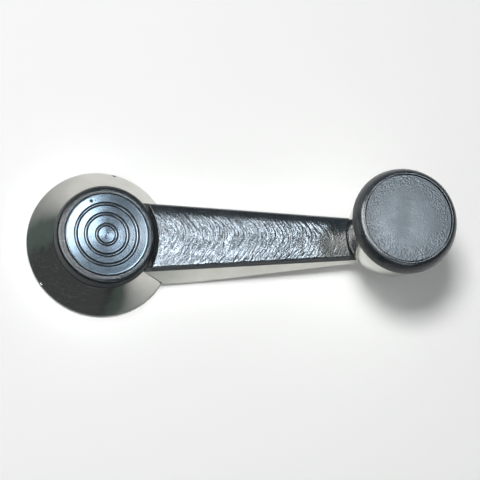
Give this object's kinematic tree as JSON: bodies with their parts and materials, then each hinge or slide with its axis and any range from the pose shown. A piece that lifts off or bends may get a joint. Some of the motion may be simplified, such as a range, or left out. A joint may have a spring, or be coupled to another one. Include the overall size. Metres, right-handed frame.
{
  "type": "window crank handle",
  "caption": "Window crank handle: plated tapered arm with a black pad, splined hub under a ringed medallion, turning flared escutcheon and turning knob.",
  "frame": {"origin": "on the spindle axis at the mouth of the spindle bore, in the plane of the door's face", "axes": "+Z along the spindle axis away from the door, +X along the arm from the hub to the knob"},
  "size_m": [0.1552, 0.0546, 0.0454],
  "materials": {
    "casting_chrome": "bright plating on a die casting",
    "escutcheon_chrome": "bright plating",
    "skirt_chrome": "bright plating",
    "pad_vinyl": "black, leather grain",
    "cap_vinyl": "black, fine grain on the ring",
    "medallion_metal": "spun rings",
    "insert_brass": "machined",
    "screw_steel": "zinc plated",
    "lock_washer_steel": "spring steel",
    "flat_washer_steel": "zinc plated",
    "clip_steel": "phosphated spring steel",
    "friction_felt": "pressed felt",
    "felt_black": "pressed felt",
    "pin_steel": "ground, riveted end",
    "rivet_washer_steel": "zinc plated",
    "thrust_plastic": "moulded",
    "spring_steel": "spring steel",
    "nut_steel": "spring steel",
    "core_plastic": "moulded",
    "bush_plastic": "moulded",
    "knob_black": "black, smooth",
    "inset_vinyl": "leather grain"
  },
  "bodies": {
    "crank": {"crank_arm": "casting_chrome", "arm_pad": "pad_vinyl", "hub_cap": "cap_vinyl", "medallion": "medallion_metal", "spline_insert": "insert_brass", "spindle_screw": "screw_steel", "lock_washer": "lock_washer_steel", "flat_washer": "flat_washer_steel", "friction_washer": "friction_felt", "escutcheon_clip": "clip_steel", "knob_pin": "pin_steel", "rivet_washer": "rivet_washer_steel", "thrust_washer": "thrust_plastic", "spring_washer": "spring_steel", "push_nut": "nut_steel"},
    "shield": {"escutcheon": "escutcheon_chrome", "felt_ring": "felt_black"},
    "knob": {"knob_skirt": "skirt_chrome", "knob_core": "core_plastic", "knob_bush": "bush_plastic", "knob_cap": "knob_black", "knob_inset": "inset_vinyl"}
  },
  "joints": [
    {"name": "escutcheon_turn", "type": "hinge", "parent": "crank", "child": "shield", "pos_m": [0, 0, 0], "axis": [0, 0, 1], "continuous": true},
    {"name": "knob_turn", "type": "hinge", "parent": "crank", "child": "knob", "pos_m": [0.108, 0, 0], "axis": [0, 0, 1], "continuous": true}
  ]
}
